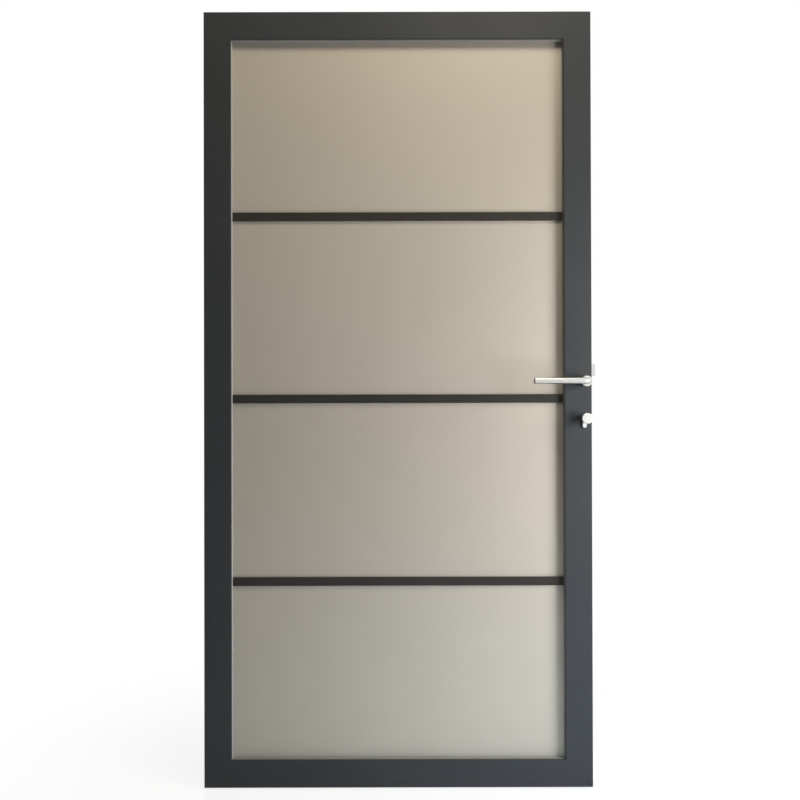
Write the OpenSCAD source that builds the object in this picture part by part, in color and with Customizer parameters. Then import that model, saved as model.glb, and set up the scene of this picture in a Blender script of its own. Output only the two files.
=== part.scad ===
// Glazed aluminium door leaf: frosted glass in a mitred frame, glazing bars, mortise lock and hinges.
// +X runs from the hinge edge to the lock edge, +Y from the near face to the far face, +Z is up.
// The origin is the middle of the bottom hinge's jamb holes, on the face that lies on the jamb.

/* [Leaf] */
// Width of the leaf over its frame
leaf_w = 1000; // [700:10:1300]
// Height of the leaf over its frame
leaf_h = 2000; // [1700:10:2600]
// Depth of the frame from its near face to its far face
frame_depth = 60; // [56:1:80]
// Width of the frame's face on all four sides
face_w = 70; // [66:1:100]

/* [Frame profile] */
// Wall of the extruded profile
profile_wall = 2.2; // [1.6:0.1:3]
// Radius of the profile's outer edges
profile_r = 1; // [0.4:0.1:2]
// Width of the rebate that takes the glass
rebate_w = 15; // [12:0.5:18]
// Thickness of the near lip in front of the glass
lip_t = 4; // [3:0.5:8]

/* [Corner cleats] */
// Length of a cleat's arm past the corner square
cleat_arm = 90; // [50:5:140]
// Web of the cleat around its windows
cleat_web = 5; // [3:0.5:8]
// Gap between a cleat and the chamber around it
cleat_gap = 0.3; // [0.1:0.1:0.6]

/* [Glazing] */
// Depth of the spacers that pack out the rebate behind the lip
spacer_depth = 11; // [8:0.5:22]
// Wall of the spacers
spacer_wall = 1.5; // [1:0.1:2]
// Radius of the spacers' edges
spacer_r = 0.6; // [0.3:0.1:1]
// Thickness of the pane
glass_t = 8; // [4:0.5:10]
// Gap between the pane's edge and the bottom of the rebate
glass_edge_gap = 3; // [2:0.5:5]
// Thickness of each glazing gasket
gasket_t = 3; // [2:0.5:4]
// Width of each glazing gasket
gasket_w = 9; // [5:0.5:9.5]
// Wall of the glazing beads
bead_wall = 1.5; // [1:0.1:2]
// Gap at each end of a bead
bead_gap = 0.2; // [0.1:0.1:0.6]
// Height of the rib on the frame that a bead snaps over
rib_h = 1.2; // [0.8:0.1:1.4]
// Width of that rib
rib_w = 3; // [2:0.5:5]
// Length of a setting block
block_l = 100; // [50:5:150]

/* [Glazing bars] */
// Height of a bar as seen from the front
bar_h = 22; // [16:1:40]
// Thickness of a bar
bar_t = 4; // [3:0.5:9]
// Radius of a bar's edges
bar_r = 0.8; // [0.3:0.1:1.5]
// Thickness of the mounting tape
tape_t = 1; // [0.5:0.1:2]
// Width of the mounting tape
tape_w = 15; // [8:1:16]
// Distance from the leaf's ends at which the equal spacing of the bars starts
bar_margin = 51; // [40:1:70]
// Gap between a bar's end and the frame
bar_end_gap = 1; // [0.5:0.1:3]

/* [Hinges] */
// Height of a hinge
hinge_h = 120; // [100:5:160]
// Distance from the leaf's ends to the middle of the outer hinges
hinge_end = 220; // [170:10:350]
// Width of a wing on the leaf's edge
wing_w = 32; // [28:1:40]
// Thickness of a wing
wing_t = 3; // [2.6:0.1:4]
// Gap between the two wings when the leaf is closed
wing_gap = 0.5; // [0.3:0.1:1.5]
// Radius of a wing's free corners
wing_r = 5; // [2:0.5:7]
// Radius of a knuckle
knuckle_r = 7; // [6:0.5:9]
// Gap between the knuckles and the leaf's far face
knuckle_clear = 0.5; // [0.4:0.1:2]
// Running gap between neighbouring knuckles
knuckle_gap = 0.3; // [0.2:0.1:0.6]
// Radius of the hinge pin
pin_r = 4; // [3:0.25:4.5]
// Radius of the pin's heads
pin_head_r = 6; // [5.2:0.2:7]
// Height of each pin head
pin_head_h = 4; // [2.5:0.5:6]
// Spacing of the screw holes across a wing
hole_pitch_y = 13; // [11:0.5:15]
// Spacing of the screw holes along a wing
hole_pitch_z = 90; // [60:5:98]
// Radius of the jamb screw holes
jamb_hole_r = 3; // [2.9:0.05:3.3]
// Radius of the jamb screw holes at their countersunk mouth
jamb_sink_r = 5; // [4.4:0.1:5.4]
// Radius of a leaf screw
hinge_screw_r = 2.5; // [2:0.1:2.6]
// Radius of a leaf screw's head
hinge_screw_head_r = 4.6; // [4:0.1:5]
// Thickness of the tapped backing plate in the stile
backing_t = 5; // [3:0.5:8]
// Margin of the backing plate around its holes
backing_margin = 6; // [5:0.5:7]

/* [Lock] */
// Distance from the leaf's lock edge to the handle axis
backset = 20; // [19:0.5:21]
// Height of the handle axis above the leaf's bottom edge
handle_height = 1044; // [900:1:1200]
// Distance from the handle axis down to the cylinder's axis
cylinder_drop = 95; // [92:0.5:100]
// Thickness of the lock case
case_t = 16; // [15.5:0.5:20]
// Wall of the lock case
case_wall = 1.5; // [1:0.1:1.7]
// Depth of the lock case behind the faceplate
case_depth = 42; // [40:0.5:44]
// Height of the lock case above the handle axis
case_above = 55; // [46:1:60]
// Height of the lock case below the cylinder's axis
case_below = 30; // [28:0.5:34]
// Width of the faceplate
faceplate_w = 24; // [20:1:28]
// Length of the faceplate past each end of the lock case
faceplate_end = 32; // [26:1:40]
// Thickness of the faceplate
faceplate_t = 3; // [2.6:0.1:4]
// Corner radius of the faceplate
faceplate_r = 3; // [1:0.5:6]
// Radius of the faceplate screws
face_screw_r = 2; // [1.5:0.1:2.5]
// Radius of the faceplate screws' heads
face_screw_head_r = 3.8; // [3.4:0.1:4.2]
// Length of the faceplate screws
face_screw_l = 7; // [5:0.5:7]
// Thickness of the brackets behind the edge wall
bracket_t = 4; // [3:0.5:6]
// Height of a bracket
bracket_h = 26; // [20:1:30]
// Width of a bracket
bracket_w = 36; // [32:1:46]
// Radius of the posts that hold the case cover
post_r = 3; // [2.5:0.1:3.5]
// Radius of the cover screws
cover_screw_r = 1.5; // [1:0.1:1.7]
// Radius of the cover screws' heads
cover_screw_head_r = 2.8; // [2.3:0.1:3.5]
// Length of the cover screws below their heads
cover_screw_l = 8; // [5:0.5:10]

/* [Latch] */
// Thickness of the latch and the deadbolt
bolt_t = 11; // [8:0.5:11.5]
// Height of the latch head
latch_h = 31.5; // [24:0.5:33]
// Distance of the latch head above the hub's disc
latch_rise = 4; // [0.6:0.1:5]
// Reach of the latch past the lock edge
latch_reach = 20; // [14:0.5:21]
// Length of the latch's bevel
latch_bevel = 13; // [8:0.5:16]
// Thickness left at the latch's tip
latch_tip_t = 2; // [1:0.5:5]
// Turn of the lever that draws the latch right in
lever_turn = 40; // [36:1:50]
// Radius of the hub's disc
hub_r = 11; // [9.5:0.5:12]
// Radius of the hub's bearing bosses
hub_boss_r = 8; // [7:0.5:9]
// Width of the hub's arm
hub_arm_w = 7; // [6.5:0.5:9]
// Thickness of the hub's arm
hub_arm_t = 5; // [3:0.5:5.5]
// Radius of the hub's driving pin
hub_pin_r = 3; // [2:0.25:3.2]
// Wall of the latch's tail around the driving pin's slot
latch_tail_wall = 4; // [2.5:0.5:5]
// Outer radius of the latch spring
spring_r = 3; // [2:0.1:3.2]
// Radius of the spring wire
spring_wire_r = 0.5; // [0.3:0.05:0.6]
// Turns of the latch spring
spring_turns = 6; // [4:1:8]

/* [Deadbolt] */
// Height of the deadbolt
deadbolt_h = 30; // [24:1:34]
// Distance from the handle axis down to the deadbolt's middle
deadbolt_drop = 45; // [40:1:48]
// Length of the deadbolt behind the lock edge
deadbolt_l = 39; // [37:0.5:39.5]
// Throw of the deadbolt
deadbolt_throw = 15; // [10:0.5:16]
// Radius of the guide post in the deadbolt's slot
guide_r = 3; // [2:0.25:3.5]
// Width of the deadbolt's leg above the cam
deadbolt_leg_w = 16; // [13:0.5:18]
// Thickness of the deadbolt's leg
deadbolt_leg_t = 5; // [3:0.5:8]

/* [Cylinder] */
// Radius of the cylinder's round part
cylinder_r = 8.5; // [8:0.1:9]
// Width of the cylinder's tail
cylinder_tail_w = 10; // [9:0.5:11]
// Height of the cylinder over its round part and tail
cylinder_h = 33; // [32:0.5:35]
// Distance that the cylinder stands out of each face of the leaf
cylinder_proud = 5; // [2:0.5:8]
// Radius of the two plugs
plug_r = 6.5; // [5:0.25:6.8]
// Reach of the cam's tooth from the cylinder's axis
cam_reach = 15.5; // [14:0.25:15.5]
// Width of the cam and its tooth
cam_w = 8; // [6:0.5:9]
// Thickness of the cam
cam_t = 9.6; // [8:0.2:10]
// Radius of the cam's ring
cam_ring_r = 8; // [7:0.25:8.4]
// Radius of the cylinder's fixing screw
cylinder_screw_r = 2.5; // [2:0.1:2.6]
// Radius of the cylinder fixing screw's head
cylinder_screw_head_r = 4.4; // [3.6:0.1:4.6]
// Width of the keyway
keyway_w = 1.8; // [1.2:0.1:2.5]
// Height of the keyway
keyway_h = 8.5; // [6:0.5:9]
// Depth of the keyway
keyway_l = 25; // [15:1:27]

/* [Thumb turn] */
// Radius of the round knob
knob_r = 13.5; // [11:0.5:16]
// Distance of the knob's front from the leaf's near face
knob_out = 28.5; // [24:0.5:34]
// Thickness of the knob
knob_t = 14; // [9:0.5:16]
// Radius of the knob's edges
knob_edge_r = 2; // [0.8:0.1:3]
// Radius of the neck behind the knob
knob_neck_r = 6; // [5:0.25:8]
// Radius of the stub that carries the knob
knob_stub_r = 4; // [2.5:0.25:4.2]

/* [Handle] */
// Radius of the lever's round bar
lever_r = 8; // [7:0.25:10]
// Length of a lever from its axis to its tip
lever_l = 140; // [100:5:160]
// Distance of the lever's axis from the face of the leaf
lever_out = 51; // [49:1:65]
// Bend radius of the lever at the middle of its bar
lever_bend = 15; // [11:0.5:16]
// Chamfer of the lever's tip
lever_chamfer = 0.8; // [0.3:0.1:2]
// Radius of a rose
rose_r = 13.5; // [12:0.5:17]
// Height of a rose
rose_h = 26; // [20:0.5:26]
// Chamfer of the rose's front edge
rose_chamfer = 1; // [0.3:0.1:2]
// Radius of the rose's spigot in the profile wall
spigot_r = 11; // [10.5:0.1:11.5]
// Side of the square spindle
spindle_a = 8; // [7:0.5:9]
// Depth of the spindle's socket past the rose
socket_past_rose = 8; // [7.5:0.5:9]
// Radius of a lever's grub screw
grub_r = 2.5; // [1.5:0.1:2.8]

/* [Fits] */
// Radial gap of pins and shafts that turn
running_fit = 0.05; // [0.02:0.01:0.1]
// Gap of pieces that slide or drop in
sliding_fit = 0.15; // [0.1:0.05:0.3]
// Gap around pieces in cut-outs and between moving pieces
cut_gap = 0.3; // [0.2:0.05:0.5]

/* [Hidden] */
$fn = 48;
// Share of a screw's radius that its hex socket takes
socket_share = 0.55;
// Height of a cheese head as a share of its radius
head_share = 0.6;
// Overlap that keeps cuts clean
tiny = 0.01;
// Overlap of two shapes that are one piece
bite = 1;

// Frame and glazing
tube_w = face_w - rebate_w;
glass_u = tube_w + glass_edge_gap;
spacer_y = lip_t;
front_gasket_y = spacer_y + spacer_depth;
glass_y = front_gasket_y + gasket_t;
rear_gasket_y = glass_y + glass_t;
bead_y = rear_gasket_y + gasket_t;
bead_depth = frame_depth - bead_y;
rib_y = bead_y + (bead_depth - rib_w) / 2;
pane_rows = 4;
bar_pitch = (leaf_h - 2 * bar_margin) / pane_rows;
front_bar_y = glass_y - tape_t - bar_t;
rear_bar_y = rear_gasket_y + tape_t;
bar_l = leaf_w - 2 * (face_w + bar_end_gap);
cleat_inset = profile_wall + cleat_gap;
cleat_w = tube_w - 2 * cleat_inset;

// Hinges
hinge_x = -(wing_t + wing_gap / 2);
hinge_y = frame_depth + knuckle_clear + knuckle_r;
hinge_z = [hinge_end, leaf_h / 2, leaf_h - hinge_end];
wing_y = frame_depth - wing_w;
hole_y = frame_depth - wing_w / 2;
jamb_face_x = -(2 * wing_t + wing_gap);
knuckles = 5;
knuckle_h = hinge_h / knuckles;
jamb_knuckles = [0, 2, 4];
leaf_knuckles = [1, 3];
hinge_hole_r = hinge_screw_r + 2 * running_fit;
hinge_sink_r = hinge_screw_head_r + 2 * running_fit;
hinge_screw_l = wing_t + profile_wall + backing_t;

// Lock, measured from the handle axis
lock_x = leaf_w - backset;
lock_y = frame_depth / 2;
face_back = backset - faceplate_t;
case_back = face_back - case_depth;
case_bottom = -cylinder_drop - case_below;
case_y = lock_y - case_t / 2;
case_inner_y = case_y + case_wall;
cover_y = lock_y + case_t / 2 - case_wall;
faceplate_bottom = case_bottom - faceplate_end;
faceplate_h = case_above - case_bottom + 2 * faceplate_end;
face_screw_inset = faceplate_end / 2;
bolt_y = lock_y - bolt_t / 2;

// Hub and latch: the driving pin swings evenly to both sides of the line above the axis
swing = lever_turn / 2;
pin_radius = latch_reach / 2 / sin(swing);
arm_y = case_inner_y + cut_gap;
tail_y = arm_y + hub_arm_t + cut_gap;
tail_t = bolt_y + bolt_t - tail_y;
pin_low = pin_radius * cos(swing);
slot_play = 0.5;
slot_w = 2 * (hub_pin_r + slot_play);
slot_bottom = pin_low - hub_pin_r - 2 * slot_play;
slot_top = pin_radius + hub_pin_r + 2 * slot_play;
tail_back = latch_reach / 2 - slot_w / 2 - latch_tail_wall;
latch_bottom = hub_r + latch_rise;
tail_mid = (slot_bottom + slot_top) / 2;
deadbolt_bottom = -deadbolt_drop - deadbolt_h / 2;
cam_top = -cylinder_drop + cam_reach;
guide_x = backset - deadbolt_l + deadbolt_throw + 2 * guide_r + cut_gap + latch_tail_wall;
post_x = case_back + case_wall + post_r + cut_gap;
post_z = [
    case_above - case_wall - post_r - cut_gap,
    -(hub_r + deadbolt_drop - deadbolt_h / 2) / 2,
    (deadbolt_bottom + cam_top) / 2,
    case_bottom + case_wall + post_r + cut_gap
];

// Cylinder, measured from its own axis
tail_r = cylinder_tail_w / 2;
tail_bottom = cylinder_r - cylinder_h;
cam_slot_t = cam_t + cut_gap;
cam_slot_bottom = -(cam_reach + cut_gap);
bridge_mid = (tail_bottom + cam_slot_bottom) / 2;
plug_l = lock_y + cylinder_proud - cam_slot_t / 2 - running_fit;
tongue_t = 3;
cam_rim = 2.5;
tongue_w = 2 * (cam_ring_r - cam_rim);
knob_back = knob_out - knob_t;
stub_end = knob_back + knob_t / 2;

// Handle
socket_end = rose_h + socket_past_rose;
grub_out = rose_h + grub_r + 2 * cut_gap;
spindle_out = socket_end - cut_gap;

frame_colour = "#3f4244";
glass_colour = "#c2b9aacc";
spacer_colour = "#8e8f8b";
rubber_colour = "#6f706e";
steel_colour = "#c9c9c6";
zinc_colour = "#a9abad";
aluminium_colour = "#b9bcbf";
plastic_colour = "#2b2c2e";

// Places in the leaf
module in_leaf() { translate([-jamb_face_x, -hole_y, -hinge_end]) children(); }
module at_handle() { in_leaf() translate([lock_x, 0, handle_height]) children(); }
module at_cylinder() { at_handle() translate([0, 0, -cylinder_drop]) children(); }
// The far side's copy of a piece that is drawn on the near side
module far_side() { translate([0, frame_depth, 0]) mirror([0, 1, 0]) children(); }

// Outlines drawn in X and Z, or in Y and Z, and run along the third axis
module along_y(y, length) {
    translate([0, y + length, 0]) rotate([90, 0, 0]) linear_extrude(length) children();
}
module along_x(x, length) { translate([x, 0, 0]) rotate([90, 0, 90]) linear_extrude(length) children(); }
module rod_x(x, length, r) { translate([x, 0, 0]) rotate([0, 90, 0]) cylinder(h = length, r = r); }
module rod_y(y, length, r) { translate([0, y, 0]) rotate([-90, 0, 0]) cylinder(h = length, r = r); }

module round_rect(size, r) {
    translate([r, 0]) square([size.x - 2 * r, size.y]);
    translate([0, r]) square([size.x, size.y - 2 * r]);
    for (x = [r, size.x - r], y = [r, size.y - r]) translate([x, y]) circle(r);
}

module tube_section(size, r, wall) {
    difference() {
        round_rect(size, r);
        translate([wall, wall]) square([size.x - 2 * wall, size.y - 2 * wall]);
    }
}

// Countersunk screw along +X with its head's flat face at the origin
module sunk_screw(r, head_r, length) {
    sink = head_r - r;
    difference() {
        union() {
            rod_x(0, length, r);
            rotate([0, 90, 0]) cylinder(h = sink, r1 = head_r, r2 = r);
        }
        translate([-tiny, 0, 0]) rotate([0, 90, 0]) cylinder(h = sink, r = r * socket_share, $fn = 6);
    }
}

// Clear hole for such a screw, countersunk at the origin
module sunk_hole(r, head_r, length) {
    rod_x(-tiny, length + 2 * tiny, r);
    translate([-tiny, 0, 0]) rotate([0, 90, 0]) cylinder(h = head_r - r + tiny, r1 = head_r + tiny, r2 = r);
}

// Leaf frame
module frame_section() {
    difference() {
        union() {
            round_rect([tube_w, frame_depth], profile_r);
            round_rect([face_w, lip_t], profile_r);
        }
        translate([profile_wall, profile_wall])
            square([tube_w - 2 * profile_wall, frame_depth - 2 * profile_wall]);
    }
}

// An outline run upright from an outer edge at x = 0, with both ends mitred
module mitred(length) {
    intersection() {
        linear_extrude(length) children();
        along_y(0, frame_depth)
            polygon([[0, 0], [face_w, face_w], [face_w, length - face_w], [0, length]]);
    }
}

// One bar of the frame, with the snap rib milled away where the beads meet
module frame_bar(length) {
    mitred(length) frame_section();
    translate([tube_w - bite, rib_y, face_w]) cube([bite + rib_h, rib_w, length - 2 * face_w]);
}

// The four sides of the leaf, for a bar that is drawn upright at the hinge edge
module on_left() { children(); }
module on_right() { translate([leaf_w, 0, leaf_h]) rotate([0, 180, 0]) children(); }
module on_bottom() { translate([leaf_w, 0, 0]) rotate([0, -90, 0]) children(); }
module on_top() { translate([0, 0, leaf_h]) rotate([0, 90, 0]) children(); }

module each_hinge_hole() {
    for (y = [-1, 1], z = [-1, 1])
        translate([0, hole_y + y * hole_pitch_y / 2, z * hole_pitch_z / 2]) children();
}

module left_stile() {
    color(frame_colour) in_leaf() difference() {
        on_left() frame_bar(leaf_h);
        for (z = hinge_z) translate([0, 0, z]) each_hinge_hole()
            rod_x(-tiny, profile_wall + 2 * tiny, hinge_hole_r);
    }
}

module faceplate_outline(grow) {
    translate([lock_y - faceplate_w / 2 - grow, faceplate_bottom - grow])
        round_rect([faceplate_w + 2 * grow, faceplate_h + 2 * grow], faceplate_r);
}

module cylinder_outline(grow) {
    circle(cylinder_r + grow);
    translate([-tail_r - grow, tail_bottom + tail_r])
        square([cylinder_tail_w + 2 * grow, -tail_bottom - tail_r]);
    translate([0, tail_bottom + tail_r]) circle(tail_r + grow);
}

module right_stile() {
    color(frame_colour) difference() {
        in_leaf() on_right() frame_bar(leaf_h);
        at_handle() along_x(backset - profile_wall - tiny, profile_wall + 2 * tiny)
            faceplate_outline(sliding_fit);
        at_handle() rod_y(-tiny, frame_depth + 2 * tiny, spigot_r + running_fit);
        at_cylinder() along_y(-tiny, frame_depth + 2 * tiny) cylinder_outline(cut_gap);
    }
}

module top_rail() { color(frame_colour) in_leaf() on_top() frame_bar(leaf_w); }
module bottom_rail() { color(frame_colour) in_leaf() on_bottom() frame_bar(leaf_w); }

module cleat_outline() {
    window = cleat_w - 2 * cleat_web;
    difference() {
        union() {
            square([cleat_w, cleat_w + cleat_arm]);
            square([cleat_w + cleat_arm, cleat_w]);
        }
        translate([cleat_web, cleat_web]) square(window);
        translate([cleat_web, cleat_w]) square([window, cleat_arm - cleat_web]);
        translate([cleat_w, cleat_web]) square([cleat_arm - cleat_web, window]);
    }
}

module corner_cleats() {
    color(aluminium_colour) in_leaf()
        for (x = [0, 1], z = [0, 1])
            translate([x * leaf_w, 0, z * leaf_h]) mirror([x, 0, 0]) mirror([0, 0, z])
                along_y(cleat_inset, frame_depth - 2 * cleat_inset)
                    translate([cleat_inset, cleat_inset]) cleat_outline();
}

// Glazing
module spacer_bar(length) {
    color(spacer_colour) mitred(length)
        translate([tube_w, spacer_y]) tube_section([rebate_w, spacer_depth], spacer_r, spacer_wall);
}
module spacer_left() { in_leaf() on_left() spacer_bar(leaf_h); }
module spacer_right() { in_leaf() on_right() spacer_bar(leaf_h); }
module spacer_top() { in_leaf() on_top() spacer_bar(leaf_w); }
module spacer_bottom() { in_leaf() on_bottom() spacer_bar(leaf_w); }

module glass_pane() {
    color(glass_colour) in_leaf() along_y(glass_y, glass_t)
        translate([glass_u, glass_u]) square([leaf_w - 2 * glass_u, leaf_h - 2 * glass_u]);
}

module setting_blocks() {
    flat = [block_l, glass_t, glass_edge_gap];
    upright = [glass_edge_gap, glass_t, block_l];
    color(plastic_colour) in_leaf() {
        for (x = [1, 3] * leaf_w / 4, z = [tube_w, leaf_h - glass_u])
            translate([x - block_l / 2, glass_y, z]) cube(flat);
        for (x = [tube_w, leaf_w - glass_u], z = [1, 3] * leaf_h / 4)
            translate([x, glass_y, z - block_l / 2]) cube(upright);
    }
}

module gasket_ring(y) {
    outer_u = face_w - gasket_w;
    color(rubber_colour) in_leaf() along_y(y, gasket_t) difference() {
        translate([outer_u, outer_u]) square([leaf_w - 2 * outer_u, leaf_h - 2 * outer_u]);
        translate([face_w, face_w]) square([leaf_w - 2 * face_w, leaf_h - 2 * face_w]);
    }
}
module front_gasket() { gasket_ring(front_gasket_y); }
module rear_gasket() { gasket_ring(rear_gasket_y); }

// Glazing bead, upright in the rebate at the hinge edge, between two ends, open where it snaps on
module bead_bar(from, to) {
    slot_w = rib_w + 2 * sliding_fit;
    color(frame_colour) translate([tube_w, 0, from + bead_gap]) linear_extrude(to - from - 2 * bead_gap)
        difference() {
            translate([0, bead_y]) tube_section([rebate_w, bead_depth], profile_r, bead_wall);
            translate([-tiny, rib_y - sliding_fit]) square([bead_wall + 2 * tiny, slot_w]);
        }
}
module bead_left() { in_leaf() on_left() bead_bar(face_w, leaf_h - face_w); }
module bead_right() { in_leaf() on_right() bead_bar(face_w, leaf_h - face_w); }
module bead_top() { in_leaf() on_top() bead_bar(tube_w, leaf_w - tube_w); }
module bead_bottom() { in_leaf() on_bottom() bead_bar(tube_w, leaf_w - tube_w); }

function bar_mid(row) = bar_margin + row * bar_pitch;

module glazing_bar(row, y) {
    color(frame_colour) in_leaf() along_x(face_w + bar_end_gap, bar_l)
        translate([y, bar_mid(row) - bar_h / 2]) round_rect([bar_t, bar_h], bar_r);
}
module front_bar_lower() { glazing_bar(1, front_bar_y); }
module front_bar_middle() { glazing_bar(2, front_bar_y); }
module front_bar_upper() { glazing_bar(3, front_bar_y); }
module rear_bar_lower() { glazing_bar(1, rear_bar_y); }
module rear_bar_middle() { glazing_bar(2, rear_bar_y); }
module rear_bar_upper() { glazing_bar(3, rear_bar_y); }

module bar_tapes(y) {
    color(plastic_colour) in_leaf()
        for (row = [1 : pane_rows - 1])
            translate([face_w + bar_end_gap, y, bar_mid(row) - tape_w / 2]) cube([bar_l, tape_t, tape_w]);
}
module front_bar_tapes() { bar_tapes(glass_y - tape_t); }
module rear_bar_tapes() { bar_tapes(rear_gasket_y); }

// Hinges, drawn at the height of the middle of the hinge
module wing_outline(own_knuckles) {
    translate([wing_y + wing_r, -hinge_h / 2]) square([wing_w - wing_r, hinge_h]);
    translate([wing_y, -hinge_h / 2 + wing_r]) square([wing_r, hinge_h - 2 * wing_r]);
    for (z = [-1, 1]) translate([wing_y + wing_r, z * (hinge_h / 2 - wing_r)]) circle(wing_r);
    for (k = own_knuckles) translate([frame_depth - wing_r, knuckle_bottom(k)])
        square([hinge_y - frame_depth + wing_r, knuckle_length(k)]);
}

// The end knuckles give up the running gap on their inner side only
function knuckle_bottom(k) = -hinge_h / 2 + k * knuckle_h + (k == 0 ? 0 : knuckle_gap / 2);
function knuckle_length(k) = knuckle_h - (k == 0 || k == knuckles - 1 ? knuckle_gap / 2 : knuckle_gap);

module wing(x, own_knuckles, bore_r) {
    difference() {
        union() {
            along_x(x, wing_t) wing_outline(own_knuckles);
            for (k = own_knuckles)
                translate([hinge_x, hinge_y, knuckle_bottom(k)])
                    cylinder(h = knuckle_length(k), r = knuckle_r);
        }
        translate([hinge_x, hinge_y, -hinge_h / 2 - tiny]) cylinder(h = hinge_h + 2 * tiny, r = bore_r);
    }
}

module leaf_wing(z) {
    color(zinc_colour) in_leaf() translate([0, 0, z]) difference() {
        wing(-wing_t, leaf_knuckles, pin_r + running_fit);
        each_hinge_hole() translate([-wing_t, 0, 0]) sunk_hole(hinge_hole_r, hinge_sink_r, wing_t);
    }
}
module hinge_leaf_wing_bottom() { leaf_wing(hinge_z[0]); }
module hinge_leaf_wing_middle() { leaf_wing(hinge_z[1]); }
module hinge_leaf_wing_top() { leaf_wing(hinge_z[2]); }

module jamb_wing(z) {
    color(zinc_colour) in_leaf() translate([0, 0, z]) difference() {
        wing(jamb_face_x, jamb_knuckles, pin_r + running_fit / 2);
        each_hinge_hole() translate([jamb_face_x + wing_t, 0, 0]) mirror([1, 0, 0])
            sunk_hole(jamb_hole_r, jamb_sink_r, wing_t);
    }
}
module hinge_jamb_wing_bottom() { jamb_wing(hinge_z[0]); }
module hinge_jamb_wing_middle() { jamb_wing(hinge_z[1]); }
module hinge_jamb_wing_top() { jamb_wing(hinge_z[2]); }

// Half of the outline of a rounded pin head that stands on z = 0
module head_outline() {
    round_r = pin_head_h / 2;
    square([pin_head_r, pin_head_h - round_r]);
    square([pin_head_r - round_r, pin_head_h]);
    translate([pin_head_r - round_r, pin_head_h - round_r]) circle(round_r);
}

module hinge_pin(z) {
    color(zinc_colour) in_leaf() translate([hinge_x, hinge_y, z]) {
        cylinder(h = hinge_h, r = pin_r, center = true);
        for (end = [0, 1]) mirror([0, 0, end]) translate([0, 0, hinge_h / 2])
            rotate_extrude() head_outline();
    }
}
module hinge_pin_bottom() { hinge_pin(hinge_z[0]); }
module hinge_pin_middle() { hinge_pin(hinge_z[1]); }
module hinge_pin_top() { hinge_pin(hinge_z[2]); }

module hinge_screws() {
    color(steel_colour) in_leaf()
        for (z = hinge_z) translate([-wing_t, 0, z]) each_hinge_hole()
            sunk_screw(hinge_screw_r, hinge_screw_head_r, hinge_screw_l);
}

module hinge_backing_plates() {
    plate_w = hole_pitch_y + 2 * backing_margin;
    plate_h = hole_pitch_z + 2 * backing_margin;
    color(zinc_colour) in_leaf()
        for (z = hinge_z) translate([0, 0, z]) difference() {
            translate([profile_wall, hole_y - plate_w / 2, -plate_h / 2]) cube([backing_t, plate_w, plate_h]);
            each_hinge_hole() rod_x(profile_wall - tiny, backing_t + 2 * tiny, hinge_screw_r + running_fit);
        }
}

// Lock
module each_post() { for (z = post_z) translate([post_x, 0, z]) children(); }

module case_outline() {
    translate([case_back, case_bottom]) square([case_depth, case_above - case_bottom]);
}

module lock_case() {
    post_l = cover_y - case_inner_y;
    color(zinc_colour) at_handle() difference() {
        union() {
            difference() {
                along_y(case_y, case_t - case_wall) case_outline();
                translate([case_back + case_wall, case_inner_y, case_bottom + case_wall])
                    cube([case_depth, case_t, case_above - case_bottom - 2 * case_wall]);
            }
            each_post() rod_y(case_inner_y - tiny, post_l + tiny, post_r);
            translate([guide_x, 0, -deadbolt_drop]) rod_y(case_inner_y - tiny, post_l + tiny, guide_r);
        }
        rod_y(case_y - tiny, case_wall + 2 * tiny, hub_boss_r + running_fit);
        translate([0, 0, -cylinder_drop])
            along_y(case_y - tiny, case_wall + 2 * tiny) cylinder_outline(cut_gap);
        each_post() rod_y(cover_y - cover_screw_l, cover_screw_l + tiny, cover_screw_r + running_fit);
    }
}

module lock_cover() {
    color(zinc_colour) at_handle() difference() {
        along_y(cover_y, case_wall) case_outline();
        rod_y(cover_y - tiny, case_wall + 2 * tiny, hub_boss_r + running_fit);
        translate([0, 0, -cylinder_drop])
            along_y(cover_y - tiny, case_wall + 2 * tiny) cylinder_outline(cut_gap);
        each_post() rod_y(cover_y - tiny, case_wall + 2 * tiny, cover_screw_r + sliding_fit);
    }
}

module cover_screws() {
    head_h = cover_screw_head_r * head_share;
    head_y = cover_y + case_wall;
    color(steel_colour) at_handle() each_post() difference() {
        union() {
            rod_y(cover_y - cover_screw_l + case_wall, cover_screw_l, cover_screw_r);
            rod_y(head_y, head_h, cover_screw_head_r);
        }
        translate([0, head_y + head_h / 2, 0]) rotate([-90, 0, 0])
            cylinder(h = head_h, r = cover_screw_r * socket_share, $fn = 6);
    }
}

module each_face_screw() {
    for (z = [faceplate_bottom + face_screw_inset, faceplate_bottom + faceplate_h - face_screw_inset])
        translate([backset, lock_y, z]) mirror([1, 0, 0]) children();
}

module at_cylinder_screw() {
    translate([backset, lock_y, -cylinder_drop + bridge_mid]) mirror([1, 0, 0]) children();
}

// Opening in the faceplate for a bolt that starts at a height
module bolt_window(bottom, height) {
    translate([face_back - tiny, bolt_y - sliding_fit, bottom - sliding_fit])
        cube([faceplate_t + 2 * tiny, bolt_t + 2 * sliding_fit, height + 2 * sliding_fit]);
}

module lock_faceplate() {
    color(steel_colour) at_handle() difference() {
        along_x(face_back, faceplate_t) faceplate_outline(0);
        bolt_window(latch_bottom, latch_h);
        bolt_window(deadbolt_bottom, deadbolt_h);
        each_face_screw() sunk_hole(face_screw_r + sliding_fit, face_screw_head_r + sliding_fit, faceplate_t);
        at_cylinder_screw()
            sunk_hole(cylinder_screw_r + sliding_fit, cylinder_screw_head_r + sliding_fit, faceplate_t);
    }
}

module faceplate_screws() {
    color(steel_colour) at_handle() each_face_screw()
        sunk_screw(face_screw_r, face_screw_head_r, face_screw_l);
}

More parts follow.
